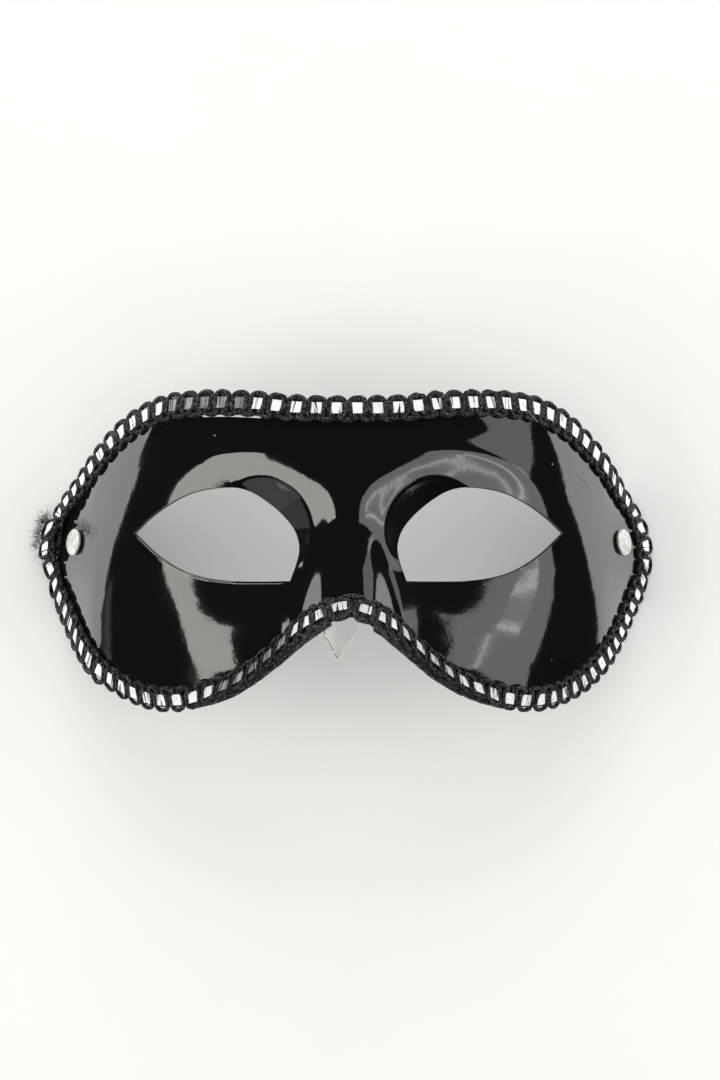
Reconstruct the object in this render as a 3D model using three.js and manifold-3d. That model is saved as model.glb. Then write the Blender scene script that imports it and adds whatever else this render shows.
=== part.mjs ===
// Glossy black half mask for the eyes, lying on its hollow side with the face up.
// Millimetres. Left and right are those of somebody who looks at the face. +X is to the
// right, +Y towards the forehead and +Z up, out of the face. The mask rests on a small flat
// spot at each temple. The origin is under the middle of the whole object, on that surface.
import * as THREE from "three";
import { mergeVertices } from "three/addons/utils/BufferGeometryUtils.js";
import Module from "manifold-3d";

const wasm = await Module();
wasm.setup();

// Form of the face, with heights from the middle of the face at the level of the eyes
const HEAD_RADIUS = 95; // the round of the face across the eyes
const CHEEK_WIDENING = 0.0024; // share by which the face widens for each millimetre down
const TEMPLE_START = 74; // from here out the round straightens towards the temple
const TEMPLE_EASE = 14; // distance over which it straightens
const PROFILE_RADIUS = 128; // the round of the face from forehead to cheek
const PROFILE_TOP = 8; // height on the face where that round is furthest out
const MIDDLE_SOFTNESS = 2.5; // distance over which the two halves blend at the middle
const NOSE = { rise: 1.3, start: 8.5, ease: 4, tip: -26, half: 11.7, browHalf: 7.7, power: 3.3 };
const BROW = { x: 29.3, y: 3.1, across: 31.7, up: 21.7, height: 1.39, softness: 0.161 };
const BROW_FADE = { start: 26, end: 77 }; // the brow and the hollow round the eye fade outwards
const ORBIT = { depth: 6, inner: 0.1, outer: 1.8, lowerShare: 1.23 };
const SOCKET = { x: 24.5, y: 4.5, radius: 14.2, depth: 9.6, rounding: 0.03 };
const CHEEK = { x: 54.8, y: -16, across: 11.4, up: 8, height: -0.83 };
const REST = { y: 0.7, halfLength: 11, reach: 15, drop: 8.8, start: 72, full: 85 };
const SLOPE_STEP = 1e-3;
const MERGE_DISTANCE = 1e-4; // points closer than this are one point
const KEY_DIGITS = 4; // decimals that tell two points of the shell apart

// Shell
const SHELL_THICKNESS = 1.2;
const EYE_RIM = 1.2; // least width of the band between the eye hole and the socket's rim
const WALL_STEPS = 2; // steps of the mesh from the eye hole to the socket's rim
const FACE_STEPS = 5; // and from that rim to the edge of the mask

// Outline of one half of the shell, seen from the front, from the middle of the forehead
// round the temple to the middle of the notch over the nose
const HALF_OUTLINE = [
  [0, 39.8], [14, 40.2], [26, 41.5], [40, 42], [52, 40.9], [62.6, 35.8], [72.8, 26],
  [80.4, 14.8], [85.8, 5.6], [87.6, -3], [86, -12.3], [81.1, -22.8], [75.2, -32.7],
  [66.4, -41.3], [55.4, -45.7], [43.5, -45.2], [31.5, -41.2], [20.6, -33.8], [11.4, -25.8],
  [4.6, -20.9], [0, -19.6],
];
const OUTLINE_TEMPLE = 8; // the point of that outline that faces the eye's outer corner
const OUTLINE_FLANK = 17; // the point where the side of the nose ends
// Eye hole: the upper edge from the outer corner over the top to the lower inner corner,
// and the lower edge from there back to the outer corner
const EYE_UPPER = [
  [60.2, 3.2], [55.4, 7.5], [49.6, 11.4], [42.9, 14.4], [33.9, 15.7], [28.2, 14.8],
  [23.4, 12.1], [18.2, 7.7], [15, 3.5], [13.9, -0.8], [14.6, -5], [16.3, -10],
];
const EYE_LOWER = [
  [16.3, -10], [24.4, -10.1], [33, -10], [41, -8.9], [47, -6.9], [53.9, -2.6], [60.2, 3.2],
];
// The mesh of one half runs in spokes from the eye hole to the edge. Each stretch of the
// edge, with its number of spokes, faces a stretch of the eye hole.
const SPOKES = { top: 15, middle: 11, flank: 8, cheek: 16 };
const EYE_SHARE = { top: 0.62, flank: 0.12 }; // of the upper and the lower edge of the hole

// Braid: a cord laid in loops over a foil strip, along the whole edge
const BRAID_INSET = 2.5; // from the shell's edge to the middle of the braid
const BRAID_PITCH = 5.5; // from one foil window to the next
const WINDOW_SHARE = 0.42; // the part of a pitch where the foil shows
const WINDOW_HALF = 1.7; // half the window's height, across the braid
const LOOP_WIDE = 3.45; // reach of a loop from the braid's middle, where it bulges
const LOOP_NARROW = 2.8; // and where it draws in between two bulges
const BRAID_FOOT = 0.5; // clearance over the shell
const CORD_UNDER = 1.15; // underside of the cord where it crosses the foil
const CORD_TOP = 2;
const CORD_SHOULDER = 0.55; // how far the top is drawn in from the loops' edges
const FOIL = { half: 1.4, bottom: 0.52, top: 0.82 };
const BRAID_START = [-85, 7]; // the beginning, at the left temple
const BRAID_OVERLAP = 8; // length by which the braid's end lies over its beginning
const OVERLAP_LIFT = 2; // height of that end over the beginning
const OVERLAP_RAMP = 9; // length over which it climbs
const ROUTE_POINTS = 3000; // points that measure the length of the edge
const ROUTE_STEP = 1; // distance over which the edge's direction and lowest point are taken
const FLAT_SPOT = 0.8; // depth pressed flat at the temples, where the mask rests

// Rivets
const RIVET = { x: 78.8, y: 0.6 };
const RIVET_HEAD = { radius: 3.9, edge: 0.8, height: 1.1, flat: 2.6 };
const RIVET_SHANK = 1.5;
const RIVET_TAIL = { radius: 3, height: 0.8 };
const RIVET_HOLE = 1.9;
const RIVET_DRILL = 3.6; // reach of the drill to both sides of the face
const RIVET_GAP = 0.3;
const RIVET_SIDES = 16;

// Clear film tab: its left and its right edge, seen from the front, from the top down
const TAB_LEFT = [[-6.8, -15.5], [-7.6, -24.4], [-4.2, -30.2]];
const TAB_RIGHT = [[3.6, -14.5], [2.4, -23.6], [-3.2, -30.2]];
const TAB_ROWS = 5;
const TAB_COLUMNS = 3;
const TAB_THICKNESS = 0.4;
const TAB_GAP = 0.35;
const TAB_EDGE = -19; // below this the tab is past the shell, and bends back
const TAB_BEND = 0.35;

const { clamp, lerp, smoothstep } = THREE.MathUtils;

// How far a face of plain round section falls back at a distance from the middle
function roundOfFace(across) {
  const start = Math.min(across, TEMPLE_START);
  const left = Math.sqrt(HEAD_RADIUS ** 2 - start ** 2);
  const out = across - start;
  const slope = start / left;
  const bend = HEAD_RADIUS ** 2 / left ** 3;
  const eased = out - TEMPLE_EASE * (1 - Math.exp(-out / TEMPLE_EASE));
  return left - HEAD_RADIUS - slope * out - bend * TEMPLE_EASE * eased;
}

function noseRidge(x, y) {
  const rise = NOSE.rise * Math.log1p(Math.exp((NOSE.start - y) / NOSE.ease));
  const half = lerp(NOSE.half, NOSE.browHalf, smoothstep(y, NOSE.tip, NOSE.start));
  return rise * Math.exp(-((Math.abs(x) / half) ** NOSE.power));
}

function browRidge(across, y) {
  const round = Math.hypot((across - BROW.x) / BROW.across, (y - BROW.y) / BROW.up);
  const upper = smoothstep(y, BROW.y - BROW.up / 2, BROW.y + BROW.up / 2);
  return BROW.height * upper * Math.exp(-(((round - 1) / BROW.softness) ** 2) / 2);
}

// The hollow round the eye
function orbit(across, y) {
  const round = Math.hypot((across - BROW.x) / BROW.across, (y - BROW.y) / BROW.up);
  const share = y > BROW.y ? 1 : lerp(1, ORBIT.lowerShare, smoothstep(BROW.y - y, 0, BROW.up / 2));
  return -ORBIT.depth * share * (1 - smoothstep(round, ORBIT.inner, ORBIT.outer));
}

// The wall that falls from the socket's rim to the eye hole
function socketWall(across, y) {
  const inside = 1 - Math.hypot(across - SOCKET.x, y - SOCKET.y) / SOCKET.radius;
  return -SOCKET.depth * (inside + Math.hypot(inside, SOCKET.rounding)) / 2;
}

function cheek(across, y) {
  const far = ((across - CHEEK.x) / CHEEK.across) ** 2 + ((y - CHEEK.y) / CHEEK.up) ** 2;
  return CHEEK.height * Math.exp(-far / 2);
}

// The temples dip above and below their furthest point, so that their edges lie level
function templeDip(across, y) {
  const away = ((y - REST.y) / REST.reach) ** 2;
  return -REST.drop * away / Math.hypot(1, away) * smoothstep(across, REST.start, REST.full);
}

function height(x, y) {
  const across = Math.hypot(x, MIDDLE_SOFTNESS);
  const profile = Math.sqrt(PROFILE_RADIUS ** 2 - (y - PROFILE_TOP) ** 2) - PROFILE_RADIUS;
  const fade = 1 - smoothstep(across, BROW_FADE.start, BROW_FADE.end);
  return roundOfFace(across / (1 - CHEEK_WIDENING * y)) + profile + noseRidge(x, y)
    + (browRidge(across, y) + orbit(across, y)) * fade + socketWall(across, y)
    + cheek(across, y) + templeDip(across, y);
}

const onFace = (x, y) => new THREE.Vector3(x, y, height(x, y));

function normalAt(x, y) {
  const d = SLOPE_STEP;
  return new THREE.Vector3(
    (height(x - d, y) - height(x + d, y)) / (2 * d),
    (height(x, y - d) - height(x, y + d)) / (2 * d),
    1,
  ).normalize();
}

// A mesh under construction: points and the faces between them
class Body {
  points = [];
  triangles = [];

  add(point) {
    this.points.push(point);
    return this.points.length - 1;
  }

  quad(a, b, c, d) {
    this.triangles.push(a, b, c, a, c, d);
  }

  geometry() {
    const made = new THREE.BufferGeometry().setFromPoints(this.points);
    made.setIndex(this.triangles);
    return made;
  }
}

function toSolid(geometry) {
  const bare = geometry.clone();
  bare.deleteAttribute("normal");
  bare.deleteAttribute("uv");
  const merged = mergeVertices(bare, MERGE_DISTANCE);
  return new wasm.Manifold(new wasm.Mesh({
    numProp: 3,
    vertProperties: merged.attributes.position.array,
    triVerts: new Uint32Array(merged.index.array),
  }));
}

function toGeometry(solid) {
  const mesh = solid.getMesh();
  const made = new THREE.BufferGeometry();
  made.setAttribute("position", new THREE.BufferAttribute(mesh.vertProperties, 3));
  made.setIndex(new THREE.BufferAttribute(mesh.triVerts, 1));
  return made;
}

// Smooth curves through the outline's points
const flatCurve = (points, closed) => new THREE.CatmullRomCurve3(
  points.map(([x, y]) => new THREE.Vector3(x, y, 0)), closed, "centripetal",
);
const otherHalf = HALF_OUTLINE.slice(1, -1).reverse().map(([x, y]) => [-x, y]);
const outline = flatCurve([...HALF_OUTLINE, ...otherHalf], true);
const outlineAt = (index) => outline.getPoint(index / (HALF_OUTLINE.length + otherHalf.length));
const eyeUpper = flatCurve(EYE_UPPER, false);
const eyeLower = flatCurve(EYE_LOWER, false);

// The spokes of one half, each with its point on the eye hole and its point on the edge
function spokes() {
  const made = [];
  const last = HALF_OUTLINE.length - 1;
  const stretch = (count, inner, outer) => {
    for (let i = 0; i < count; i++) made.push([inner(i / count), outer(i / count)]);
  };
  const top = outlineAt(0);
  const notch = outlineAt(last);
  stretch(SPOKES.top,
    (f) => eyeUpper.getPointAt(lerp(0, EYE_SHARE.top, f)),
    (f) => outlineAt(lerp(OUTLINE_TEMPLE, 0, f)));
  stretch(SPOKES.middle,
    (f) => eyeUpper.getPointAt(lerp(EYE_SHARE.top, 1, f)),
    (f) => top.clone().lerp(notch, f));
  stretch(SPOKES.flank,
    (f) => eyeLower.getPointAt(lerp(0, EYE_SHARE.flank, f)),
    (f) => outlineAt(lerp(last, OUTLINE_FLANK, f)));
  stretch(SPOKES.cheek,
    (f) => eyeLower.getPointAt(lerp(EYE_SHARE.flank, 1, f)),
    (f) => outlineAt(lerp(OUTLINE_FLANK, OUTLINE_TEMPLE, f)));
  return made;
}

// Where a spoke crosses the socket's rim, as a distance from the eye hole
function rimDistance(from, to) {
  const length = from.distanceTo(to);
  const along = to.clone().sub(from).divideScalar(length);
  const back = new THREE.Vector3(from.x - SOCKET.x, from.y - SOCKET.y, 0);
  const half = back.dot(along);
  const reach = half ** 2 - back.lengthSq() + SOCKET.radius ** 2;
  const far = reach > 0 ? Math.sqrt(reach) - half : 0;
  return clamp(far, EYE_RIM, length / 2);
}

function shellGeometry() {
  const body = new Body();
  const ids = new Map();
  // The points of the face and of the inside behind it, shared where two spokes meet
  const pointPair = (x, y) => {
    const key = x.toFixed(KEY_DIGITS) + " " + y.toFixed(KEY_DIGITS);
    if (!ids.has(key)) {
      const front = onFace(x, y);
      const back = front.clone().addScaledVector(normalAt(x, y), -SHELL_THICKNESS);
      ids.set(key, [body.add(front), body.add(back)]);
    }
    return ids.get(key);
  };
  const steps = WALL_STEPS + FACE_STEPS;
  const wall = (a, b) => body.quad(a[0], a[1], b[1], b[0]);
  for (const side of [1, -1]) {
    const rows = spokes().map(([from, to]) => {
      const rim = rimDistance(from, to) / from.distanceTo(to);
      return Array.from({ length: steps + 1 }, (_, i) => {
        const share = i < WALL_STEPS
          ? rim * i / WALL_STEPS
          : lerp(rim, 1, (i - WALL_STEPS) / FACE_STEPS);
        const at = from.clone().lerp(to, share);
        return pointPair(side * at.x, at.y);
      });
    });
    rows.forEach((row, n) => {
      const next = rows[(n + 1) % rows.length];
      const [a, b] = side > 0 ? [row, next] : [next, row];
      for (let i = 0; i < steps; i++) {
        body.quad(a[i][0], a[i + 1][0], b[i + 1][0], b[i][0]);
        body.quad(a[i][1], b[i][1], b[i + 1][1], a[i + 1][1]);
      }
      wall(b[0], a[0]);
      const middle = n >= SPOKES.top && n < SPOKES.top + SPOKES.middle;
      if (!middle) wall(a[steps], b[steps]);
    });
  }
  return body.geometry();
}

// Turns a shape whose axis is +Z to stand on the face at the rivet
function onRivet(geometry, side) {
  const turn = new THREE.Quaternion().setFromUnitVectors(
    new THREE.Vector3(0, 0, 1), normalAt(side * RIVET.x, RIVET.y),
  );
  const place = onFace(side * RIVET.x, RIVET.y);
  return geometry.applyQuaternion(turn).translate(place.x, place.y, place.z);
}

// A body of revolution about +Z from points of radius and height, from the bottom up
function turned(profile) {
  const points = profile.map(([r, z]) => new THREE.Vector2(r, z));
  return new THREE.LatheGeometry(points, RIVET_SIDES).rotateX(Math.PI / 2);
}

function rivetGeometry(side) {
  const inside = -SHELL_THICKNESS - RIVET_GAP;
  const top = RIVET_GAP + RIVET_HEAD.height;
  return onRivet(turned([
    [0, inside - RIVET_TAIL.height], [RIVET_TAIL.radius, inside - RIVET_TAIL.height],
    [RIVET_TAIL.radius, inside], [RIVET_SHANK, inside], [RIVET_SHANK, RIVET_GAP],
    [RIVET_HEAD.radius, RIVET_GAP], [RIVET_HEAD.radius, RIVET_GAP + RIVET_HEAD.edge],
    [RIVET_HEAD.flat, top], [0, top],
  ]), side);
}

function rivetDrill(side) {
  return onRivet(turned([
    [0, -RIVET_DRILL], [RIVET_HOLE, -RIVET_DRILL], [RIVET_HOLE, RIVET_DRILL], [0, RIVET_DRILL],
  ]), side);
}

// The edge of the mask as a route with its length, to lay the braid along
function edgeRoute() {
  const count = ROUTE_POINTS;
  const route = [];
  for (let i = 0; i < count; i++) {
    const at = outline.getPoint(i / count);
    route.push(onFace(at.x, at.y));
  }
  const start = new THREE.Vector2(...BRAID_START);
  const away = route.map((p) => start.distanceTo(new THREE.Vector2(p.x, p.y)));
  const first = away.indexOf(Math.min(...away));
  const turnedRoute = [...route.slice(first), ...route.slice(0, first)];
  const lengths = [0];
  turnedRoute.forEach((p, i) => {
    lengths.push(lengths[i] + p.distanceTo(turnedRoute[(i + 1) % count]));
  });
  return { points: turnedRoute, lengths, total: lengths[count] };
}

const route = edgeRoute();

function edgeAt(distance) {
  const along = ((distance % route.total) + route.total) % route.total;
  let low = 0;
  let high = route.points.length;
  while (high - low > 1) {
    const mid = (low + high) >> 1;
    if (route.lengths[mid] <= along) low = mid;
    else high = mid;
  }
  const share = (along - route.lengths[low]) / (route.lengths[high] - route.lengths[low]);
  return route.points[low].clone().lerp(route.points[high % route.points.length], share);
}

// The braid's own directions at a distance along the edge: a place is given by how far it
// lies inwards from the braid's middle and how high it stands over the shell
function braidFrame(distance) {
  const edge = edgeAt(distance);
  const ahead = edgeAt(distance + ROUTE_STEP);
  const along = ahead.sub(edgeAt(distance - ROUTE_STEP)).normalize();
  const inwards = along.clone().cross(normalAt(edge.x, edge.y)).normalize();
  const lift = OVERLAP_LIFT * smoothstep(distance, route.total - OVERLAP_RAMP, route.total);
  const middle = edge.clone().addScaledVector(inwards, BRAID_INSET);
  const up = normalAt(middle.x, middle.y);
  return (across, over) => {
    const at = edge.clone().addScaledVector(inwards, BRAID_INSET + across);
    return onFace(at.x, at.y).addScaledVector(up, over + lift);
  };
}

const braidLength = route.total + BRAID_OVERLAP;
const pitches = Math.round(braidLength / BRAID_PITCH);
const pitch = braidLength / pitches;

// The section of the braid: the rail inside the windows and the rail outside them. The cord
// bulges outwards round each window, and inwards between two windows.
function braidStation(body, distance, besideWindow) {
  const at = braidFrame(distance);
  const rail = (side, reach) => [
    [reach, BRAID_FOOT], [reach - CORD_SHOULDER, CORD_TOP], [WINDOW_HALF, CORD_TOP],
    [WINDOW_HALF, CORD_UNDER],
  ].map(([across, over]) => body.add(at(side * across, over)));
  return {
    inner: rail(1, besideWindow ? LOOP_NARROW : LOOP_WIDE),
    outer: rail(-1, besideWindow ? LOOP_WIDE : LOOP_NARROW),
  };
}

// The closed section where the cord crosses the foil, in turning order
const crossing = ({ inner, outer }) => [
  ...inner.slice(0, 3), ...outer.slice(0, 3).reverse(), outer[3], inner[3],
];

function braidGeometry() {
  const body = new Body();
  const window = pitch * WINDOW_SHARE;
  const bridge = (a, b) => a.forEach((_, i) => {
    const j = (i + 1) % a.length;
    body.quad(a[j], a[i], b[i], b[j]);
  });
  const wall = ({ inner, outer }, ahead) => {
    const corners = [inner[2], inner[3], outer[3], outer[2]];
    body.quad(...(ahead ? corners : corners.reverse()));
  };
  const cap = (station, ahead) => {
    wall(station, ahead);
    body.quad(...(ahead ? [...station.inner].reverse() : station.inner));
    body.quad(...(ahead ? station.outer : [...station.outer].reverse()));
  };
  let before;
  for (let n = 0; n < pitches; n++) {
    const start = n * pitch;
    const opening = start + (pitch - window) / 2;
    const edge = braidStation(body, start, false);
    const from = braidStation(body, opening, true);
    const to = braidStation(body, opening + window, true);
    if (before) bridge(crossing(before), crossing(edge));
    else cap(edge, false);
    bridge(crossing(edge), crossing(from));
    wall(from, true);
    bridge(from.inner, to.inner);
    bridge([...from.outer].reverse(), [...to.outer].reverse());
    wall(to, false);
    before = to;
  }
  const end = braidStation(body, braidLength, false);
  bridge(crossing(before), crossing(end));
  cap(end, true);
  return body.geometry();
}

// The foil strip: a thin flat band under the cord, from end to end
function foilGeometry() {
  const body = new Body();
  const corners = [[-1, FOIL.bottom], [-1, FOIL.top], [1, FOIL.top], [1, FOIL.bottom]];
  const station = (distance) => {
    const at = braidFrame(distance);
    return corners.map(([side, over]) => body.add(at(side * FOIL.half, over)));
  };
  const stations = Array.from({ length: pitches + 1 }, (_, n) => station(n * pitch));
  stations.slice(1).forEach((to, n) => corners.forEach((_, i) => {
    const j = (i + 1) % corners.length;
    body.quad(stations[n][i], stations[n][j], to[j], to[i]);
  }));
  const first = stations[0];
  const last = stations[pitches];
  body.quad(first[3], first[2], first[1], first[0]);
  body.quad(last[0], last[1], last[2], last[3]);
  return body.geometry();
}

// The clear film tab follows the inside of the nose, and bends back where it is past the shell
function tabGeometry() {
  const body = new Body();
  const left = flatCurve(TAB_LEFT, false);
  const right = flatCurve(TAB_RIGHT, false);
  const rows = Array.from({ length: TAB_ROWS + 1 }, (_, r) => {
    const from = left.getPoint(r / TAB_ROWS);
    const to = right.getPoint(r / TAB_ROWS);
    return Array.from({ length: TAB_COLUMNS + 1 }, (_, c) => {
      const at = from.clone().lerp(to, c / TAB_COLUMNS);
      const level = Math.max(at.y, TAB_EDGE);
      const under = normalAt(at.x, level);
      const front = new THREE.Vector3(at.x, at.y, height(at.x, level));
      front.addScaledVector(under, -SHELL_THICKNESS - TAB_GAP);
      front.z -= TAB_BEND * (level - at.y);
      const back = front.clone().addScaledVector(under, -TAB_THICKNESS);
      return [body.add(front), body.add(back)];
    });
  });
  const edge = (a, b) => body.quad(a[0], b[0], b[1], a[1]);
  for (let r = 0; r < TAB_ROWS; r++) {
    for (let c = 0; c < TAB_COLUMNS; c++) {
      const [a, b, d, e] = [rows[r][c], rows[r][c + 1], rows[r + 1][c + 1], rows[r + 1][c]];
      body.quad(a[0], e[0], d[0], b[0]);
      body.quad(a[1], b[1], d[1], e[1]);
      if (r === 0) edge(a, b);
      if (r === TAB_ROWS - 1) edge(d, e);
      if (c === 0) edge(e, a);
      if (c === TAB_COLUMNS - 1) edge(b, d);
    }
  }
  return body.geometry();
}

// The level at the temples on which the mask lies, and everything below it pressed flat
function restLevel() {
  const body = new Body();
  for (let distance = 0; distance < route.total; distance += ROUTE_STEP) {
    if (Math.abs(edgeAt(distance).y - REST.y) > REST.halfLength) continue;
    body.add(braidFrame(distance)(-LOOP_WIDE, BRAID_FOOT));
  }
  const lowest = (side) => Math.min(...body.points.filter((p) => p.x * side > 0).map((p) => p.z));
  return Math.max(lowest(1), lowest(-1)) + FLAT_SPOT;
}

function pressedFlat(geometry, level) {
  const place = geometry.getAttribute("position");
  for (let i = 0; i < place.count; i++) place.setZ(i, Math.max(place.getZ(i), level));
  return geometry;
}

const level = restLevel();
const blackPlastic = () => new THREE.MeshStandardMaterial({ color: 0x0a0a0b, roughness: 0.08 });
const blackCord = () => new THREE.MeshStandardMaterial({ color: 0x0d0d0e, roughness: 0.9 });
const silverFoil = () => new THREE.MeshStandardMaterial({
  color: 0xd8d8da, roughness: 0.25, metalness: 1,
});
const clearFilm = () => new THREE.MeshStandardMaterial({
  color: 0xffffff, roughness: 0.05, transparent: true, opacity: 0.35,
});

const mask = new THREE.Group();
function add(name, geometry, material) {
  const mesh = new THREE.Mesh(geometry, material);
  mesh.name = name;
  mask.add(mesh);
}

const drilled = toSolid(pressedFlat(shellGeometry(), level))
  .subtract(toSolid(rivetDrill(1)))
  .subtract(toSolid(rivetDrill(-1)));
add("shell", toGeometry(drilled), blackPlastic());
add("braid", pressedFlat(braidGeometry(), level), blackCord());
add("foil_strip", pressedFlat(foilGeometry(), level), silverFoil());
add("rivet_left", rivetGeometry(-1), silverFoil());
add("rivet_right", rivetGeometry(1), silverFoil());
add("clear_tab", tabGeometry(), clearFilm());

// The origin goes to the middle of the whole object, on the surface that it lies on
const box = new THREE.Box3().setFromObject(mask, true);
const middle = box.getCenter(new THREE.Vector3());
mask.position.set(-middle.x, -middle.y, -box.min.z);

export default mask;
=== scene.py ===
# Glossy black eye mask, dressed in Blender in the CAD model's frame: metres, +Z up, face up.
# Lengths of the object are in millimetres, as in its CAD source, until made() builds a mesh.
import math

import bpy
import numpy as np
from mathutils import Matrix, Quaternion, Vector

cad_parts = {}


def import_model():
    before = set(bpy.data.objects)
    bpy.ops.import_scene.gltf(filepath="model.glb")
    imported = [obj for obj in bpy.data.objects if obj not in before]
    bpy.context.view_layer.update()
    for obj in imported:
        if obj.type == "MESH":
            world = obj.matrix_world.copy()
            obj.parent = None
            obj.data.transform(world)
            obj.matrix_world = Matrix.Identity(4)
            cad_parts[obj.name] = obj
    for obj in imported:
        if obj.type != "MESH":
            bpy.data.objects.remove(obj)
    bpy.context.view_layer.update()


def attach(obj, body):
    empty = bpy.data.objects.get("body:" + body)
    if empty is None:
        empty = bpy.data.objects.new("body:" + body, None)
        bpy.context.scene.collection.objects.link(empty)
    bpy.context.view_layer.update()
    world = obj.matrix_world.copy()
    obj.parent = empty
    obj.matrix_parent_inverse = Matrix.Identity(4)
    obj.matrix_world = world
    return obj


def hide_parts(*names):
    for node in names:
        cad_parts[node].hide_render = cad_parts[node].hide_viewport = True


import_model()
chance = np.random.default_rng(7)

# Form of the face, as in the CAD source
ORIGIN = np.array([0.0013, 2.0078, 55.5644])  # the face's own origin in the frame
HEAD_RADIUS, CHEEK_WIDENING = 95, 0.0024
TEMPLE_START, TEMPLE_EASE = 74, 14
PROFILE_RADIUS, PROFILE_TOP, MIDDLE_SOFTNESS = 128, 8, 2.5
NOSE = dict(rise=1.3, start=8.5, ease=4, tip=-26, half=11.7, brow_half=7.7,
            power=3.3)
BROW = dict(x=29.3, y=3.1, across=31.7, up=21.7, height=1.39, softness=0.161,
            fade=26, gone=77)
ORBIT = dict(depth=6, inner=0.1, outer=1.8, lower_share=1.23)
SOCKET = dict(x=24.5, y=4.5, radius=14.2, depth=9.6, rounding=0.03)
CHEEK = dict(x=54.8, y=-16, across=11.4, up=8, height=-0.83)
REST = dict(y=0.7, reach=15, drop=8.8, start=72, full=85)
SHELL_THICKNESS, EYE_RIM = 1.2, 1.2
HALF_OUTLINE = [
    (0, 39.8), (14, 40.2), (26, 41.5), (40, 42), (52, 40.9), (62.6, 35.8), (72.8, 26),
    (80.4, 14.8), (85.8, 5.6), (87.6, -3), (86, -12.3), (81.1, -22.8), (75.2, -32.7),
    (66.4, -41.3), (55.4, -45.7), (43.5, -45.2), (31.5, -41.2), (20.6, -33.8),
    (11.4, -25.8), (4.6, -20.9), (0, -19.6),
]
OUTLINE_TEMPLE, OUTLINE_FLANK = 8, 17
EYE_UPPER = [
    (60.2, 3.2), (55.4, 7.5), (49.6, 11.4), (42.9, 14.4), (33.9, 15.7), (28.2, 14.8),
    (23.4, 12.1), (18.2, 7.7), (15, 3.5), (13.9, -0.8), (14.6, -5), (16.3, -10),
]
EYE_LOWER = [
    (16.3, -10), (24.4, -10.1), (33, -10), (41, -8.9), (47, -6.9), (53.9, -2.6),
    (60.2, 3.2),
]
SPOKES = dict(top=15, middle=11, flank=8, cheek=16)
EYE_SHARE = dict(top=0.62, flank=0.12)

# Braid, rivets and film
# The first two lines and those of the rivets as in the CAD source
BRAID_INSET, BRAID_PITCH, BRAID_START = 2.5, 5.5, (-85, 7)
BRAID_OVERLAP, OVERLAP_RAMP, ROUTE_POINTS = 8, 9, 3000
# Beside the nose the braid sits further in, and the smooth edge of the shell shows outside it
SET_IN = dict(inner=(6, 14), outer=(36, 44), braid=0.9, shell=0.3)
# How far the loops lean, in degrees, and where each lean begins and ends, in mm from the middle
LEAN = dict(nose=50, left=20, right=24, temple=27, upper=12)
LEAN_BEGINS = dict(nose=(3, 18), left=(54, 62), right=(72, 79), upper=(62, 68))
LEAN_ENDS = dict(nose=(30, 52), left=(69, 76), cheek=(82, 86))
LEAN_TEMPLE = dict(left=81.5, right=84.5, full=86)
# The lower leans begin below the middle and last to the braid's end; the upper one is above it
LEAN_BELOW, LEAN_BEFORE_END, LEAN_ABOVE = (0, 8), (14, 8), (9, 16)
# The frayed end of the braid lies beside its start at the left temple, and stands out there
SEAM = dict(short=0.5, back=3, end=2.3, start=1.2, rise=(-8, 3), fall=(6, 24))
# Low at the left the braid stands up and out
PROUD = dict(x=(64, 72), y=(6, 14), end=(36, 42), lift=0.3, shift=0.9, out=0.4, thick=0.2)
# Round the lower corners the loops are squeezed together
SQUEEZE = dict(x=(50, 60), end=(72, 79), y=(12, 20), left=0.18, right=0.4)
BRAID_OUTSIDE, BRAID_SPREAD = -2.8, 0.55  # on the steep sides the braid is spread inwards
RIVET = dict(x=78.8, y=0.6)
RIVET_GAP = 0.3
TAB_THICKNESS, TAB_GAP, TAB_EDGE, TAB_BEND = 0.4, 0.35, -19, 0.35


def smoothstep(x, lo, hi):
    t = np.clip((x - lo) / (hi - lo), 0, 1)
    return t * t * (3 - 2 * t)


def lerp(a, b, f):
    return a + (b - a) * f


def round_of_face(across):
    start = np.minimum(across, TEMPLE_START)
    left = np.sqrt(HEAD_RADIUS**2 - start**2)
    out = across - start
    bend = HEAD_RADIUS**2 / left**3
    eased = out - TEMPLE_EASE * (1 - np.exp(-out / TEMPLE_EASE))
    return left - HEAD_RADIUS - start / left * out - bend * TEMPLE_EASE * eased


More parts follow.
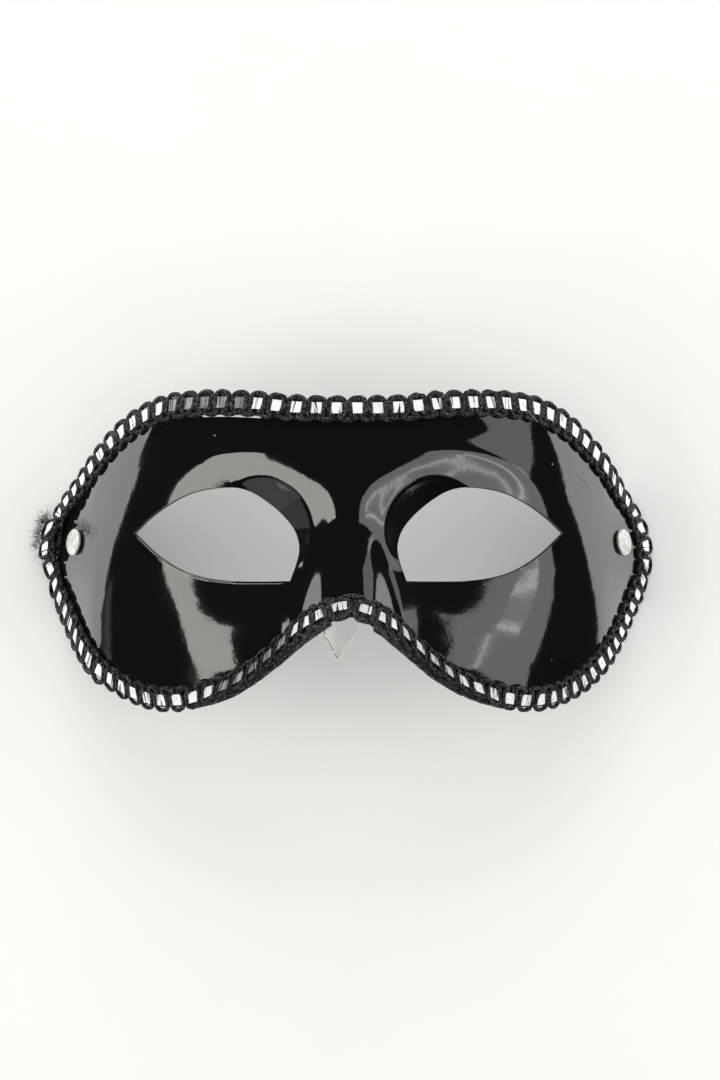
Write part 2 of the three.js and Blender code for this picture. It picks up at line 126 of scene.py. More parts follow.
def height(x, y):
    across = np.hypot(x, MIDDLE_SOFTNESS)
    profile = np.sqrt(PROFILE_RADIUS**2 - (y - PROFILE_TOP) ** 2) - PROFILE_RADIUS
    rise = NOSE["rise"] * np.log1p(np.exp((NOSE["start"] - y) / NOSE["ease"]))
    half = lerp(NOSE["half"], NOSE["brow_half"], smoothstep(y, NOSE["tip"], NOSE["start"]))
    nose = rise * np.exp(-((np.abs(x) / half) ** NOSE["power"]))
    ring = np.hypot((across - BROW["x"]) / BROW["across"], (y - BROW["y"]) / BROW["up"])
    half_up = BROW["up"] / 2
    upper = smoothstep(y, BROW["y"] - half_up, BROW["y"] + half_up)
    fade = 1 - smoothstep(across, BROW["fade"], BROW["gone"])
    brow = BROW["height"] * upper * np.exp(-(((ring - 1) / BROW["softness"]) ** 2) / 2) * fade
    lower = lerp(1, ORBIT["lower_share"], smoothstep(BROW["y"] - y, 0, half_up))
    orbit = -ORBIT["depth"] * lower * (1 - smoothstep(ring, ORBIT["inner"], ORBIT["outer"]))
    orbit = orbit * fade
    inside = 1 - np.hypot(across - SOCKET["x"], y - SOCKET["y"]) / SOCKET["radius"]
    wall = -SOCKET["depth"] * (inside + np.hypot(inside, SOCKET["rounding"])) / 2
    far = ((across - CHEEK["x"]) / CHEEK["across"]) ** 2 + ((y - CHEEK["y"]) / CHEEK["up"]) ** 2
    cheek = CHEEK["height"] * np.exp(-far / 2)
    away = ((y - REST["y"]) / REST["reach"]) ** 2
    dip = -REST["drop"] * away / np.hypot(1, away)
    dip = dip * smoothstep(across, REST["start"], REST["full"])
    return (round_of_face(across / (1 - CHEEK_WIDENING * y)) + profile + nose + brow + orbit
            + wall + cheek + dip)


def on_face(x, y):
    return np.stack([x, y, height(x, y)], -1)


def unit(v):
    return v / np.linalg.norm(v, axis=-1, keepdims=True)


def normal(x, y, d=1e-3):
    return unit(np.stack([
        (height(x - d, y) - height(x + d, y)) / (2 * d),
        (height(x, y - d) - height(x, y + d)) / (2 * d),
        np.ones_like(x, float),
    ], -1))


class Curve:
    """Centripetal Catmull-Rom curve through plane points."""

    def __init__(self, points, closed=False, samples=4000):
        self.points = np.array(points, float)
        self.closed = closed
        ends = self.points
        if not closed:
            ends = np.vstack([2 * ends[0] - ends[1], ends, 2 * ends[-1] - ends[-2]])
        self.ends = ends
        self.spans = len(self.points) - (0 if closed else 1)
        self.fine = self.at(np.linspace(0, self.spans, samples))
        steps = np.linalg.norm(np.diff(self.fine, axis=0), axis=1)
        self.lengths = np.concatenate([[0], np.cumsum(steps)])

    def at(self, index):
        index = np.asarray(index, float)
        span = np.minimum(np.floor(index), self.spans - 1).astype(int)
        w = (index - span)[..., None]
        first = span - 1 if self.closed else span
        p = [self.ends[(first + k) % len(self.ends)] for k in range(4)]
        d = [np.linalg.norm(p[k + 1] - p[k], axis=-1, keepdims=True) ** 0.5 for k in range(3)]
        start = (p[1] - p[0]) / d[0] - (p[2] - p[0]) / (d[0] + d[1]) + (p[2] - p[1]) / d[1]
        end = (p[2] - p[1]) / d[1] - (p[3] - p[1]) / (d[1] + d[2]) + (p[3] - p[2]) / d[2]
        start, end = start * d[1], end * d[1]
        return (p[1] + start * w + (3 * (p[2] - p[1]) - 2 * start - end) * w**2
                + (2 * (p[1] - p[2]) + start + end) * w**3)

    def along(self, share):
        where = np.asarray(share) * self.lengths[-1]
        return np.stack([np.interp(where, self.lengths, self.fine[:, k]) for k in (0, 1)], -1)


outline = Curve(HALF_OUTLINE + [(-x, y) for x, y in HALF_OUTLINE[-2:0:-1]], closed=True)
eye_upper = Curve(EYE_UPPER)
eye_lower = Curve(EYE_LOWER)


# Route of the braid round the edge
def edge_route():
    index = np.arange(ROUTE_POINTS) / ROUTE_POINTS * outline.spans
    at = outline.at(index)
    points = on_face(at[:, 0], at[:, 1])
    first = int(np.argmin(np.linalg.norm(points[:, :2] - BRAID_START, axis=1)))
    points = np.roll(points, -first, axis=0)
    points = np.vstack([points, points[:1]])
    steps = np.linalg.norm(np.diff(points, axis=0), axis=1)
    return points, np.concatenate([[0], np.cumsum(steps)])


ROUTE, ROUTE_LENGTHS = edge_route()
ROUTE_TOTAL = ROUTE_LENGTHS[-1]
BRAID_FIRST, BRAID_LAST = -BRAID_OVERLAP - SEAM["back"], ROUTE_TOTAL - SEAM["short"]
BRAID_LENGTH = BRAID_LAST - BRAID_FIRST


def edge_at(distance):
    along = np.mod(distance, ROUTE_TOTAL)
    return np.stack([np.interp(along, ROUTE_LENGTHS, ROUTE[:, k]) for k in range(3)], -1)


def loop_places():
    """Distances of the loops' middles and their pitches, squeezed round the lower corners."""
    path = np.linspace(BRAID_FIRST, BRAID_LAST, ROUTE_POINTS)
    x, y = edge_at(path)[:, :2].T
    far = smoothstep(np.abs(x), *SQUEEZE["x"]) * (1 - smoothstep(np.abs(x), *SQUEEZE["end"]))
    most = np.where(x > 0, SQUEEZE["right"], SQUEEZE["left"])
    tight = far * smoothstep(-y, *SQUEEZE["y"]) * most
    count = np.cumsum(1 + tight) - 1
    loops = round(count[-1] / count.size * BRAID_LENGTH / BRAID_PITCH)
    middles = np.interp((np.arange(loops) + 0.5) / loops * count[-1], count, path)
    edges = np.interp(np.arange(loops + 1) / loops * count[-1], count, path)
    return middles, np.diff(edges)


MIDDLES, PITCHES = loop_places()


def set_in(x, y):
    """How much of the braid's extra inset a place at the edge has, beside the nose."""
    from_nose = smoothstep(np.abs(x), *SET_IN["inner"])
    to_cheek = 1 - smoothstep(np.abs(x), *SET_IN["outer"])
    return from_nose * to_cheek * (y < 0)


def stand_out(x, y):
    """How much of its extra height the braid has at a place of the edge, low at the left."""
    below = smoothstep(-y, *PROUD["y"]) * (1 - smoothstep(-y, *PROUD["end"]))
    return below * smoothstep(-x, *PROUD["x"])


def edge_frame(distance):
    edge = edge_at(distance)
    along = unit(edge_at(distance + 1) - edge_at(distance - 1))
    return edge, along, unit(np.cross(along, normal(edge[:, 0], edge[:, 1])))


def lean_at(distance):
    """How far the loops lean, round the lower half of the edge and at the upper left."""
    x, y = edge_at(distance)[:, :2].T
    far, side = np.abs(x), np.sign(x)
    nose = -side * LEAN["nose"] * smoothstep(far, *LEAN_BEGINS["nose"])
    nose = nose * (1 - smoothstep(far, *LEAN_ENDS["nose"]))
    left = -LEAN["left"] * smoothstep(-x, *LEAN_BEGINS["left"])
    left = left * (1 - smoothstep(-x, *LEAN_ENDS["left"]))
    right = -LEAN["right"] * smoothstep(x, *LEAN_BEGINS["right"])
    cheek = (left + right) * (1 - smoothstep(far, *LEAN_ENDS["cheek"]))
    begins = np.where(side > 0, LEAN_TEMPLE["right"], LEAN_TEMPLE["left"])
    temple = side * LEAN["temple"] * smoothstep(far, begins, LEAN_TEMPLE["full"])
    near_end = smoothstep(distance, *(ROUTE_TOTAL - before for before in LEAN_BEFORE_END))
    low = np.maximum(smoothstep(-y, *LEAN_BELOW), near_end)
    high = -LEAN["upper"] * smoothstep(-x, *LEAN_BEGINS["upper"]) * smoothstep(y, *LEAN_ABOVE)
    return np.radians((nose + cheek + temple) * low + high)


def braid_place(distance, across, over):
    """Points of the braid: distance along the edge, across inwards, over the shell."""
    edge, _, _ = edge_frame(distance)
    steep = 1 - normal(edge[:, 0], edge[:, 1])[:, 2]
    across = np.broadcast_to(across, np.shape(distance))
    across = BRAID_OUTSIDE + (across - BRAID_OUTSIDE) * (1 + BRAID_SPREAD * steep)
    lean = lean_at(distance)
    edge, along, inwards = edge_frame(distance - across * np.sin(lean))
    middle = edge + inwards * BRAID_INSET
    up = normal(middle[:, 0], middle[:, 1])
    over_start = BRAID_LAST - BRAID_OVERLAP
    lift = SEAM["end"] * smoothstep(distance, over_start - OVERLAP_RAMP, over_start)
    lift += SEAM["start"] * smoothstep(distance, *SEAM["rise"]) * (
        1 - smoothstep(distance, *SEAM["fall"]))
    proud = stand_out(edge[:, 0], edge[:, 1])
    lift += PROUD["lift"] * proud
    extra = SET_IN["braid"] * set_in(edge[:, 0], edge[:, 1]) - PROUD["shift"] * proud
    at = edge + inwards * (BRAID_INSET + extra + across * np.cos(lean))[:, None]
    return on_face(at[:, 0], at[:, 1]) + up * (over + lift)[:, None], up


# Meshes
def made(name, points, faces, material, slot, uv=None, normals=None, smooth=True):
    at = (np.asarray(points) + ORIGIN) / 1000
    at[:, 2] = np.maximum(at[:, 2], 0)
    mesh = bpy.data.meshes.new(name)
    mesh.from_pydata(at.tolist(), [], [list(map(int, f)) for f in faces])
    if uv is not None:
        layer = mesh.uv_layers.new(name="along")
        layer.data.foreach_set("uv", np.asarray(uv, float).ravel())
    mesh.polygons.foreach_set("use_smooth", [smooth] * len(mesh.polygons))
    if normals is not None:
        mesh.normals_split_custom_set_from_vertices(np.asarray(normals).tolist())
    mesh.update()
    piece = bpy.data.objects.new(name, mesh)
    bpy.context.scene.collection.objects.link(piece)
    mesh.materials.append(material)
    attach(piece, "root")
    return piece


def tube(path, up, wide, tall, sides):
    """Sweeps an ellipse along a path; returns points, quads and a length-and-turn uv."""
    path = np.asarray(path)
    along = unit(np.gradient(path, axis=0))
    across = unit(np.cross(along, up))
    raised = np.cross(across, along)
    turn = np.arange(sides) / sides * 2 * np.pi
    wide = np.broadcast_to(wide, len(path))[:, None, None]
    tall = np.broadcast_to(tall, len(path))[:, None, None]
    ring = (across[:, None] * np.cos(turn)[None, :, None] * wide
            + raised[:, None] * np.sin(turn)[None, :, None] * tall)
    points = (path[:, None] + ring).reshape(-1, 3)
    i, j = np.meshgrid(np.arange(len(path) - 1), np.arange(sides), indexing="ij")
    k = (j + 1) % sides
    quads = np.stack([i * sides + j, i * sides + k, (i + 1) * sides + k, (i + 1) * sides + j], -1)
    length = np.concatenate([[0], np.cumsum(np.linalg.norm(np.diff(path, axis=0), axis=1))])
    uv = np.stack([
        np.stack([length[i], j / sides], -1), np.stack([length[i], (j + 1) / sides], -1),
        np.stack([length[i + 1], (j + 1) / sides], -1), np.stack([length[i + 1], j / sides], -1),
    ], -2)
    faces = [list(q) for q in quads.reshape(-1, 4)]
    uv = uv.reshape(-1, 2)
    last = (len(path) - 1) * sides
    faces.append(list(range(sides))[::-1])
    faces.append([last + n for n in range(sides)])
    uv = np.vstack([uv, np.zeros((2 * sides, 2))])
    return points, faces, uv


def joined(parts):
    """Several (points, faces, uv) as one."""
    points, faces, uv, count = [], [], [], 0
    for p, f, u in parts:
        points.append(p)
        faces.extend([[v + count for v in face] for face in f])
        uv.append(u)
        count += len(p)
    return np.vstack(points), faces, np.vstack(uv)


# Materials
NOISE_MOST = 0.3, 0.7  # most of what a noise texture gives lies between these two
# Colours, darker and lighter
FILM_COLOURS = (0.0062, 0.0054, 0.005), (0.55, 0.55, 0.53)  # the black film and its dust
CORD_COLOURS = (0.002, 0.0018, 0.0018), (0.095, 0.09, 0.086)
# the foil's dark colour is painted shade in its creases and a painted dark reflection in the
# darker windows
FOIL_WHITE_AND_PAINTED_SHADE = (0.012, 0.012, 0.013), (1, 1, 1)
RIVET_COLOURS = (0.62, 0.61, 0.58), (0.97, 0.96, 0.93)
CLEAR_COLOURS = (0.96, 0.965, 0.96), (0.985, 0.985, 0.98)
BOARD_COLOURS = (0.8, 0.795, 0.775), (0.82, 0.815, 0.795)
# Depths of relief, in metres
WAVE_DEPTH, RIPPLE_DEPTH, CORD_DEPTH, FOIL_DEPTH = 0.00012, 0.00001, 0.00022, 0.00003
RIVET_DEPTH, CLEAR_DEPTH = 0.00004, 0.00008
DUST_SCALE, DUST_SIZES, DUST_RADII, DUST_MATT = 190.0, (0.8, 1.0), (0.0, 0.07), 0.4
WRAP_SCALE, STREAK_SCALE = (1.7, 4, 1), (5200, 700, 2500)  # of threads and scratches


class Nodes:
    """A material's node tree with short names for what is used here."""

    def __init__(self, name, **values):
        self.material = bpy.data.materials.new(name)
        self.material.use_nodes = True
        self.tree = self.material.node_tree
        self.shader = self.tree.nodes["Principled BSDF"]
        for key, value in values.items():
            self.shader.inputs[key.replace("_", " ")].default_value = value

    def add(self, kind, inputs=None, **values):
        node = self.tree.nodes.new("ShaderNode" + kind)
        for key, value in values.items():
            setattr(node, key, value)
        for key, value in (inputs or {}).items():
            if isinstance(value, bpy.types.NodeSocket):
                self.tree.links.new(value, node.inputs[key])
            else:
                node.inputs[key].default_value = value
        return node

    def place(self, scale=(1, 1, 1)):
        where = self.add("TexCoord").outputs["Object"]
        return self.add("Mapping", {"Vector": where, "Scale": scale}).outputs[0]

    def noise(self, scale, detail=2, where=None, roughness=0.5):
        where = where or self.place()
        return self.add("TexNoise", {
            "Vector": where, "Scale": scale, "Detail": detail, "Roughness": roughness,
        }).outputs[0]

    def ramp(self, value, lo, hi, out_lo=0.0, out_hi=1.0):
        return self.add("MapRange", {
            "Value": value, "From Min": lo, "From Max": hi, "To Min": out_lo, "To Max": out_hi,
        }).outputs[0]

    def math(self, operation, a, b=0.0):
        return self.add("Math", {0: a, 1: b}, operation=operation).outputs[0]

    def mix(self, factor, a, b):
        node = self.add("Mix", {0: factor}, data_type="RGBA")
        for index, value in ((6, a), (7, b)):
            if isinstance(value, bpy.types.NodeSocket):
                self.tree.links.new(value, node.inputs[index])
            else:
                node.inputs[index].default_value = (*value, 1)
        return node.outputs[2]

    def bump(self, value, distance, after=None):
        inputs = {"Height": value, "Distance": distance}
        if after:
            inputs["Normal"] = after
        return self.add("Bump", inputs).outputs[0]

    def set(self, key, socket):
        self.tree.links.new(socket, self.shader.inputs[key])


def gloss_black():
    n = Nodes("black_gloss_plastic", IOR=2.0, Coat_Weight=1.0, Coat_IOR=1.8, Coat_Roughness=0.035)
    haze = n.noise(45, 4)
    cells = n.add("TexVoronoi", {"Vector": n.place(), "Scale": DUST_SCALE})
    sizes = n.add("SeparateColor", {0: cells.outputs["Color"]}).outputs[0]
    radii = n.ramp(sizes, *DUST_SIZES, *DUST_RADII)
    spot = n.math("LESS_THAN", cells.outputs["Distance"], radii)
    n.set("Base Color", n.mix(spot, *FILM_COLOURS))
    smear = n.ramp(haze, 0.35, 0.7, 0.05, 0.11)
    n.set("Roughness", n.math("ADD", smear, n.math("MULTIPLY", spot, DUST_MATT)))
    waves = n.bump(n.noise(70, 2), WAVE_DEPTH)
    ripple = n.bump(n.noise(900, 3), RIPPLE_DEPTH, after=waves)
    n.set("Normal", ripple)
    n.tree.links.new(ripple, n.shader.inputs["Coat Normal"])
    return n.material


def cord_black():
    n = Nodes("black_cord", IOR=1.4, Sheen_Weight=0.05)
    uv = n.add("UVMap", uv_map="along").outputs[0]
    along = n.add("Mapping", {"Vector": uv, "Scale": WRAP_SCALE}).outputs[0]
    wrap = n.noise(1, 3, along, roughness=0.7)
    fleck = n.noise(1700, 4, roughness=0.7)
    both = n.math("MULTIPLY", wrap, fleck)
    n.set("Base Color", n.mix(n.ramp(both, 0.23, 0.34), *CORD_COLOURS))
    n.set("Roughness", n.ramp(fleck, *NOISE_MOST, 0.55, 0.85))
    n.set("Normal", n.bump(n.math("ADD", wrap, fleck), CORD_DEPTH))
    return n.material


def foil_silver():
    n = Nodes("silver_foil", Metallic=0.15, IOR=1.5)
    crinkle = n.noise(900, 3)
    # Painted shade: the uv gives each facet its tone, dark on the crease facets and the darker
    # windows, and the low parts of the crinkle are painted a little darker
    shine = n.add("SeparateXYZ", {0: n.add("UVMap", uv_map="along").outputs[0]}).outputs[0]
    painted_darkening = n.math("MULTIPLY", shine, n.ramp(crinkle, 0.3, 0.5, 0.85, 1.0))
    n.set("Base Color", n.mix(painted_darkening, *FOIL_WHITE_AND_PAINTED_SHADE))
    n.set("Roughness", n.ramp(crinkle, *NOISE_MOST, 0.2, 0.4))
    n.set("Normal", n.bump(crinkle, FOIL_DEPTH))
    return n.material


def rivet_silver():
    n = Nodes("rivet_metal", Metallic=0.7, IOR=1.5)
    stain = n.noise(520, 4)
    streaks = n.noise(1.0, 3, n.place(STREAK_SCALE))
    n.set("Base Color", n.mix(n.ramp(stain, 0.35, 0.65), *RIVET_COLOURS))
    n.set("Roughness", n.ramp(streaks, *NOISE_MOST, 0.2, 0.42))
    n.set("Normal", n.bump(streaks, RIVET_DEPTH))
    return n.material


def film_clear():
    n = Nodes("clear_film", IOR=1.46, Transmission_Weight=1.0)
    n.set("Roughness", n.ramp(n.noise(400, 3), *NOISE_MOST, 0.02, 0.07))
    n.set("Base Color", n.mix(n.noise(250, 2), *CLEAR_COLOURS))
    n.set("Normal", n.bump(n.noise(160, 2), CLEAR_DEPTH))
    return n.material


def fibre(name, dark, light):
    n = Nodes(name, IOR=1.45)
    n.set("Base Color", n.mix(n.ramp(n.noise(1500, 2), *NOISE_MOST), dark, light))
    n.set("Roughness", n.ramp(n.noise(2500, 1), *NOISE_MOST, 0.5, 0.8))
    return n.material


# Shell
SPOKE_DETAIL = 6
WALL_STEPS = 8
FACE_STEPS, FACE_CROWDING = 40, 1.15  # the steps crowd a little towards the eye hole
EDGE_ROUND = 0.35  # how far the rounding of a cut edge reaches in from it
EDGE_STEPS = 5
# At the top left the braid has come off the shell's edge, which lies further in there
OVERHANG = dict(x=-32.5, half=13, ease=5, depth=6.3, above=22)


def spokes(side):
    last = len(HALF_OUTLINE) - 1
    inner, outer = [], []

    def stretch(count, from_, to):
        f = np.arange(count * SPOKE_DETAIL) / (count * SPOKE_DETAIL)
        inner.append(from_(f))
        outer.append(to(f))

    top, notch = outline.at(0), outline.at(last)
    stretch(SPOKES["top"], lambda f: eye_upper.along(lerp(0, EYE_SHARE["top"], f)),
            lambda f: outline.at(lerp(OUTLINE_TEMPLE, 0, f)))
    stretch(SPOKES["middle"], lambda f: eye_upper.along(lerp(EYE_SHARE["top"], 1, f)),
            lambda f: top + (notch - top) * f[:, None])
    stretch(SPOKES["flank"], lambda f: eye_lower.along(lerp(0, EYE_SHARE["flank"], f)),
            lambda f: outline.at(lerp(last, OUTLINE_FLANK, f)))
    stretch(SPOKES["cheek"], lambda f: eye_lower.along(lerp(EYE_SHARE["flank"], 1, f)),
            lambda f: outline.at(lerp(OUTLINE_FLANK, OUTLINE_TEMPLE, f)))
    inner, outer = np.vstack(inner), np.vstack(outer)
    outer[:, 0] *= side
    inner[:, 0] *= side
    out = unit(outer - inner)
    outer += out * SET_IN["shell"] * set_in(outer[:, 0], outer[:, 1])[:, None]
    off = smoothstep(OVERHANG["half"] - np.abs(outer[:, 0] - OVERHANG["x"]), 0, OVERHANG["ease"])
    outer[:, 1] -= OVERHANG["depth"] * off * (outer[:, 1] > OVERHANG["above"])
    return inner, outer


def rim_share(inner, outer, side):
    length = np.linalg.norm(outer - inner, axis=1)
    along = (outer - inner) / length[:, None]
    back = inner - np.array([side * SOCKET["x"], SOCKET["y"]])
    half = (back * along).sum(1)
    reach = half**2 - (back**2).sum(1) + SOCKET["radius"] ** 2
    far = np.where(reach > 0, np.sqrt(np.maximum(reach, 0)) - half, 0)
    return np.clip(far, EYE_RIM, length / 2) / length, length


def shell_side(side):
    """The front points of one half, one row for each spoke, and the rows' cut-edge flags."""
    inner, outer = spokes(side)
    rim, length = rim_share(inner, outer, side)
    start = (EDGE_ROUND / length)[:, None]
    middle = (SPOKES["top"] * SPOKE_DETAIL, (SPOKES["top"] + SPOKES["middle"]) * SPOKE_DETAIL)
    n = np.arange(len(inner))
    open_end = ~((n > middle[0] - 1) & (n < middle[1] + 1))
    end = np.where(open_end, 1 - EDGE_ROUND / length, 1)[:, None]
    wall = np.linspace(0, 1, WALL_STEPS + 1)[None, :-1]
    face = np.linspace(0, 1, FACE_STEPS + 1)[None, :] ** FACE_CROWDING
    share = np.hstack([lerp(start, rim[:, None], wall), lerp(rim[:, None], end, face)])
    at = inner[:, None] + (outer - inner)[:, None] * share[..., None]
    out = unit(outer - inner)
    return at, out, open_end


def build_shell():
    points, normals, faces, count = [], [], [], 0
    for side in (1, -1):
        at, out, open_end = shell_side(side)
        rows, steps = at.shape[:2]
        front = on_face(at[..., 0], at[..., 1])
        up = normal(at[..., 0], at[..., 1])
        back = front - up * SHELL_THICKNESS
        angle = np.arange(1, EDGE_STEPS) / EDGE_STEPS * np.pi
        ahead = np.concatenate([out, np.zeros((rows, 1))], 1)

        def edge_ring(k, direction):
            tangent = direction - (direction * up[:, k]).sum(1, keepdims=True) * up[:, k]
            tangent = unit(tangent)
            place = (front[:, k, None]
                     + tangent[:, None] * np.sin(angle)[None, :, None] * EDGE_ROUND
                     + up[:, k, None] * ((np.cos(angle) - 1) / 2)[None, :, None] * SHELL_THICKNESS)
            turn = (tangent[:, None] * np.sin(angle)[None, :, None]
                    + up[:, k, None] * np.cos(angle)[None, :, None])
            return place, turn

        hole, hole_turn = edge_ring(0, -ahead)
        rim, rim_turn = edge_ring(steps - 1, ahead)
        loop = np.concatenate([front, rim, back[:, ::-1], hole[:, ::-1]], 1)
        turn = np.concatenate([up, rim_turn, -up[:, ::-1], hole_turn[:, ::-1]], 1)
        ring = loop.shape[1]
        for r in range(rows):
            q = (r + 1) % rows
            for k in range(ring):
                on_rim = steps - 1 <= k < steps + EDGE_STEPS - 1
                if on_rim and not (open_end[r] and open_end[q]):
                    continue
                m = (k + 1) % ring
                quad = [r * ring + k, r * ring + m, q * ring + m, q * ring + k]
                faces.append([count + v for v in (quad if side > 0 else quad[::-1])])
        points.append(loop.reshape(-1, 3))
        normals.append(turn.reshape(-1, 3))
        count += rows * ring
    points, normals = np.vstack(points), np.vstack(normals)
    _, first, inverse = np.unique(np.round(points, 3), axis=0, return_index=True,
                                  return_inverse=True)
    faces = inverse.reshape(-1)[np.array(faces)]
    return points[first], faces, unit(normals[first])


shell_points, shell_faces, shell_normals = build_shell()
shell = made("mask_shell", shell_points, shell_faces, gloss_black(), "black_gloss_plastic",
             normals=shell_normals)
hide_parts("shell")

# Cord of the braid
# One pitch of the cord, from the inner bend before a window round the window's outer end to
# the inner bend after it: along the edge, across it inwards, over the shell, half its width.
# The loops lie open along the forehead and the nose, and close up round the sides
OPEN_LOOP = [
    (-2.75, 3.15, 0.55, 0.7), (-1.9, 3.1, 0.6, 0.68), (-1.1, 2.85, 0.65, 0.62),
    (-0.7, 2.4, 0.7, 0.55), (-1.2, 2.0, 0.75, 0.58), (-1.9, 1.6, 0.85, 0.74),
    (-2.1, 0.3, 0.9, 0.84), (-2.1, -1.4, 0.85, 0.82), (-1.9, -2.25, 0.8, 0.78),
    (-1.0, -2.75, 0.75, 0.8), (0, -2.88, 0.75, 0.82), (1.0, -2.75, 0.75, 0.8),
    (1.9, -2.25, 0.8, 0.78), (2.1, -1.4, 0.9, 0.82), (2.1, 0.3, 0.95, 0.84),
    (1.9, 1.6, 1.05, 0.74), (1.2, 2.0, 1.05, 0.58), (0.7, 2.4, 1.05, 0.55),
    (1.1, 2.85, 0.9, 0.62), (1.9, 3.1, 0.75, 0.68),
]
TIGHT_LOOP = [
    (-2.75, 3.2, 0.6, 0.62), (-1.95, 3.1, 0.65, 0.62), (-1.2, 2.85, 0.7, 0.58),
    (-0.75, 2.4, 0.75, 0.52), (-1.2, 1.95, 0.8, 0.55), (-1.85, 1.6, 0.85, 0.66),
    (-2.05, 0.4, 0.85, 0.62), (-2.05, -1.4, 0.85, 0.62), (-1.8, -2.25, 0.8, 0.64),
    (-0.95, -2.78, 0.75, 0.64), (0, -2.95, 0.75, 0.64), (0.95, -2.78, 0.75, 0.64),
    (1.8, -2.25, 0.8, 0.64), (2.05, -1.4, 0.9, 0.62), (2.05, 0.4, 0.95, 0.62),
    (1.85, 1.6, 1.05, 0.66), (1.2, 1.95, 1.05, 0.55), (0.75, 2.4, 1.05, 0.52),
    (1.2, 2.85, 0.9, 0.58), (1.95, 3.1, 0.75, 0.62),
]
OUTER_BEND = slice(8, 13)
OPEN_TOP, OPEN_NOSE = (24, 36), (10, 20)
CORD_TALL = 0.6
CORD_SLIP, SLIP_SHARES = 0.06, (1, 1, 0.8, 0.5)  # how unevenly the loops lie
# The stretches where a straight cord runs along the very edge: from x to x, above or below
RIM_STRETCHES = [(-45, -5, -1), (7, 45, -1), (41, 57, 1)]
RIM_IN, RIM_OVER, RIM_CORD, RIM_STEP = -0.25, -0.15, 0.75, 6
RIM_WAVER, RIM_SMOOTH = 0.25, 5  # how far it wavers, and over how many steps that is evened out
# The flat ribbon that the loops are stitched to, across the braid and over the shell
RIBBON = [(-2.3, 0.2), (-1.5, 0.35), (2, 0.35), (3.25, 0.2)]
RIBBON_RIM = 0.1  # how far from the edge it starts beside the nose
RIBBON_STEPS = 600
CORD_STEPS = 40
CORD_SIDES = 10


def cord_path():
    path = []
    for middle, pitch in zip(MIDDLES, PITCHES):
        slip = chance.normal(0, CORD_SLIP, (len(OPEN_LOOP), 4)) * SLIP_SHARES
        x, y = edge_at(middle)[:2]
        nose = (1 - smoothstep(abs(x), *OPEN_NOSE)) * (y < 0)
        wide = max(smoothstep(y, *OPEN_TOP), nose)
        bend = lerp(np.array(TIGHT_LOOP), np.array(OPEN_LOOP), wide) + slip
        bend[OUTER_BEND] += np.array([0, -PROUD["out"], 0, PROUD["thick"]]) * stand_out(x, y)
        bend[:, 0] = middle + bend[:, 0] * pitch / BRAID_PITCH
        path.extend(bend)
    path = np.array(path)
    index = np.linspace(0, len(path) - 1, len(MIDDLES) * CORD_STEPS)
    before = np.clip(np.floor(index).astype(int), 0, len(path) - 2)
    w = (index - before)[:, None]
    p = [path[np.clip(before + k, 0, len(path) - 1)] for k in (-1, 0, 1, 2)]
    return 0.5 * (2 * p[1] + (p[2] - p[0]) * w + (2 * p[0] - 5 * p[1] + 4 * p[2] - p[3]) * w**2
                  + (3 * p[1] - p[0] - 3 * p[2] + p[3]) * w**3)


def looped_cord():
    """The cord in its loops; they are measured along the edge, so a lean makes it narrower."""
    distance, across, over, wide = cord_path().T
    points, up = braid_place(distance, across, over)
    return tube(points, up, wide * np.cos(lean_at(distance)), CORD_TALL, CORD_SIDES)


def rim_cord(lowest, highest, upper):
    x, y = ROUTE[:-1, :2].T
    here = (x > lowest) & (x < highest) & (y * upper > 0)
    distance = ROUTE_LENGTHS[:-1][here][::RIM_STEP]
    edge, _, inwards = edge_frame(distance)
    up = normal(edge[:, 0], edge[:, 1])
    waver = chance.normal(0, RIM_WAVER, len(distance) + RIM_SMOOTH - 1)
    waver = np.convolve(waver, np.ones(RIM_SMOOTH) / RIM_SMOOTH, "valid")
    at = edge + inwards * (RIM_IN + waver)[:, None] + up * RIM_OVER
    return tube(at, up, RIM_CORD, RIM_CORD, CORD_SIDES)


def backing_ribbon():
    distance = np.linspace(BRAID_FIRST, BRAID_LAST, RIBBON_STEPS)
    points = np.stack([braid_place(distance, across, over)[0] for across, over in RIBBON], 1)
    edge, _, inwards = edge_frame(distance)
    to_rim = set_in(edge[:, 0], edge[:, 1])[:, None]
    rim = edge + inwards * RIBBON_RIM + normal(edge[:, 0], edge[:, 1]) * RIBBON[0][1]
    points[:, 0] += (rim - points[:, 0]) * to_rim
    lines = len(RIBBON)
    row, col = np.meshgrid(np.arange(RIBBON_STEPS - 1), np.arange(lines - 1), indexing="ij")
    corner = (row * lines + col).ravel()
    faces = np.stack([corner, corner + 1, corner + 1 + lines, corner + lines], 1)
    uv = np.stack([distance[faces // lines], faces % lines], -1)
    return points.reshape(-1, 3), faces.tolist(), uv.reshape(-1, 2)


cord_parts = [looped_cord(), *(rim_cord(*where) for where in RIM_STRETCHES), backing_ribbon()]
cord_mesh = joined(cord_parts)
cord = made("gimp_cord", *cord_mesh[:2], cord_black(), "black_cord", uv=cord_mesh[2])
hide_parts("braid")

# Foil in the windows
FOIL_OUTER, FOIL_INNER = -1.55, 1.5
FOIL_LOW, FOIL_HIGH, FOIL_SHARE = 1.0, 1.2, 0.4
FOIL_TILT = 0.05
# Tones of the foil's facets: the plain facets near white, the crease facets painted dark as shade
# in the folds
FOIL_SHINE, CREASE_PAINTED_SHADE = (0.85, 1), (0.02, 0.3)
CREASES = (0, 3)  # how many creases, painted dark as shade, a window has, at least and below
CREASE_WIDE, CREASE_REACH, CREASE_SKEW = (0.1, 0.4), 1.1, 0.2
PAINTED_DARK_TOP, PAINTED_DARK_BOTTOM = (-52, -25), (-33, -14)  # windows painted darker, a painted dark reflection, from x to x
